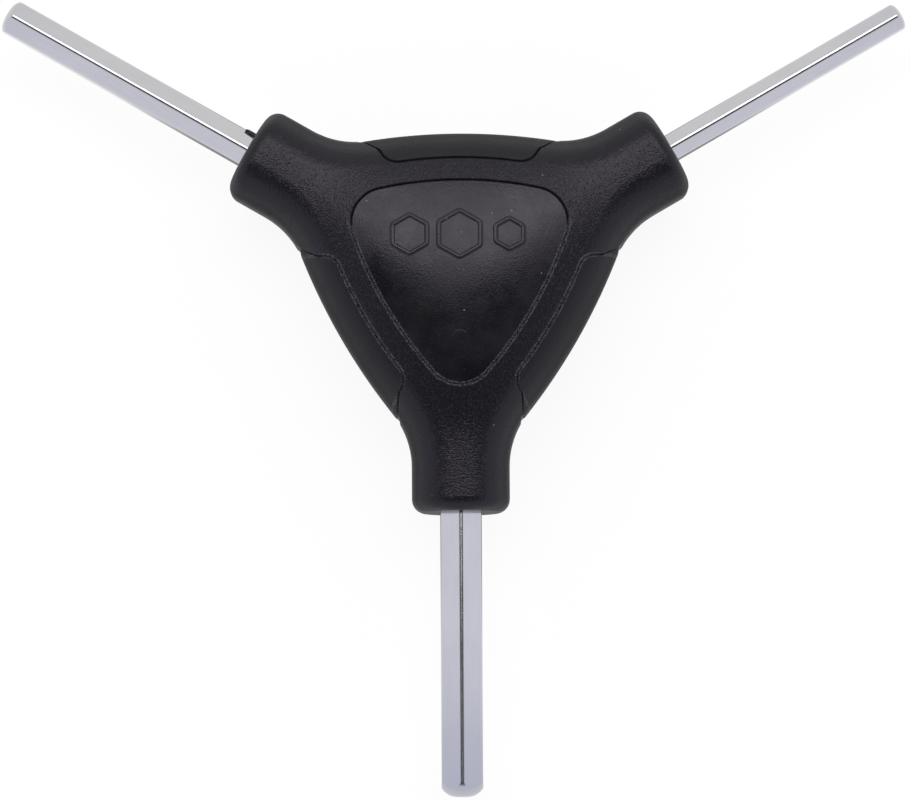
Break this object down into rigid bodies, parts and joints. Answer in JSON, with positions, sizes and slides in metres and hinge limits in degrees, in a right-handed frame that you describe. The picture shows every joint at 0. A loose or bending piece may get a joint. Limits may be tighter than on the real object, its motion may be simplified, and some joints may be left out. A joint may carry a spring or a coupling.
{
  "type": "y wrench",
  "caption": "Y-shaped hand wrench with a domed moulded grip and straight hexagon keys of different widths pointing out at even angles.",
  "frame": {"origin": "under the middle of the handle, at the lowest point of the back face", "axes": "+Z out of the front face, -Y along the 6 mm key; the 5 mm key points to 150 degrees and the 4 mm key to 30 degrees from +X"},
  "size_m": [0.132, 0.1163, 0.0226],
  "materials": {
    "key_steel": "satin chrome plate",
    "core_plastic": "fine moulded grain",
    "inlay_plastic": "smooth satin",
    "grip_plastic": "very fine moulded grain"
  },
  "bodies": {
    "root": {"hex_key_6mm": "key_steel", "hex_key_5mm": "key_steel", "hex_key_4mm": "key_steel", "handle_core": "core_plastic", "front_inlay": "inlay_plastic", "back_inlay": "inlay_plastic", "top_grip": "grip_plastic", "left_grip": "grip_plastic", "right_grip": "grip_plastic"}
  },
  "joints": []
}
